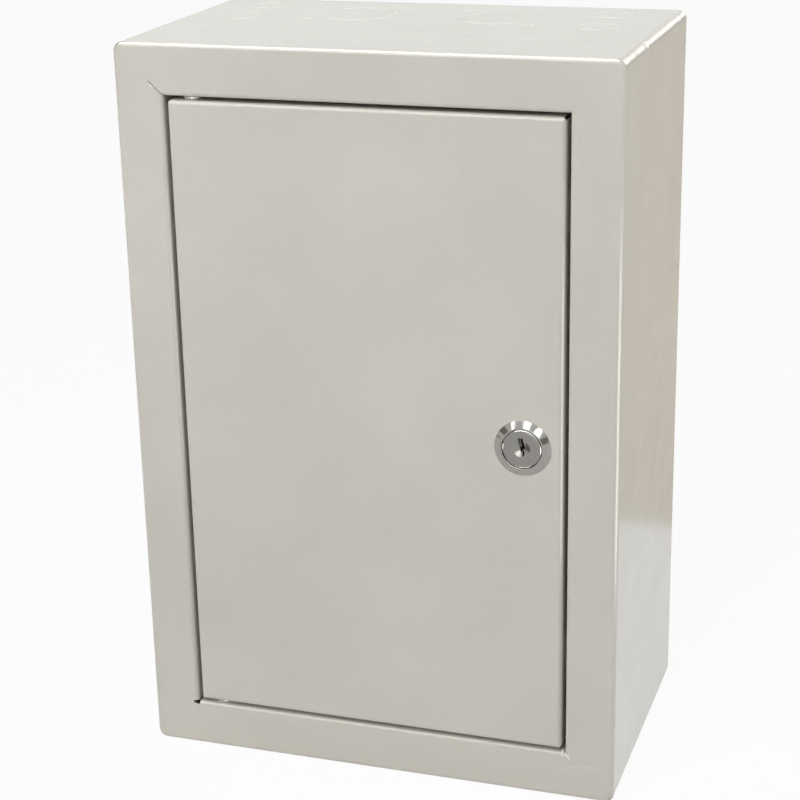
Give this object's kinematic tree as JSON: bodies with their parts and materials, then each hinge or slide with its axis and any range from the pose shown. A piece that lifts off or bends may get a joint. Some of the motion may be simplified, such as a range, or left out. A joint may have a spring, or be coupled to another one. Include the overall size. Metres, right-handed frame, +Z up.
{
  "type": "steel wall enclosure",
  "caption": "Small rectangular sheet steel wall cabinet with a flush hinged door, a quarter-turn cam lock, knockouts in the top and a mounting plate inside.",
  "frame": {"origin": "centre of the four wall fixing holes, on the back's outer face", "axes": "+Z up along the cabinet's height, +Y out of the back into the wall, +X to the right as seen from the front, so the door faces -Y"},
  "size_m": [0.2, 0.1219, 0.3],
  "materials": {
    "powder_coat": "light warm grey powder coat, fine orange peel, half gloss",
    "galvanised": "galvanised sheet, matt with faint spangle",
    "zinc_plated": "bright zinc plating",
    "copper_plated": "copper-plated weld stud",
    "lock_chrome": "bright chrome plating on zinc die casting",
    "lock_face": "satin chrome, fine turning marks"
  },
  "bodies": {
    "cabinet": {"body_shell": "powder_coat", "large_knockout_discs": "powder_coat", "small_knockout_discs": "powder_coat", "screw_knockout_discs": "powder_coat", "hinge_pin_upper": "zinc_plated", "hinge_pin_lower": "zinc_plated", "hinge_washer_upper": "zinc_plated", "hinge_washer_lower": "zinc_plated", "mounting_plate": "galvanised", "plate_studs": "zinc_plated", "plate_nuts": "zinc_plated", "body_earth_stud": "copper_plated", "body_earth_nut": "zinc_plated"},
    "door": {"door_panel": "powder_coat", "door_earth_stud": "copper_plated", "door_earth_nut": "zinc_plated", "lock_housing": "lock_chrome", "lock_nut": "zinc_plated"},
    "lock_cylinder": {"lock_plug": "lock_face", "lock_cam": "zinc_plated", "cam_screw": "zinc_plated"}
  },
  "joints": [
    {"name": "door_hinge", "type": "hinge", "parent": "cabinet", "child": "door", "pos_m": [-0.0695, -0.1145, 0], "axis": [0, 0, -1], "range_deg": [0, 120]},
    {"name": "lock_turn", "type": "hinge", "parent": "door", "child": "lock_cylinder", "pos_m": [0.0625, -0.12, 0], "axis": [0, -1, 0], "range_deg": [0, 90]}
  ]
}
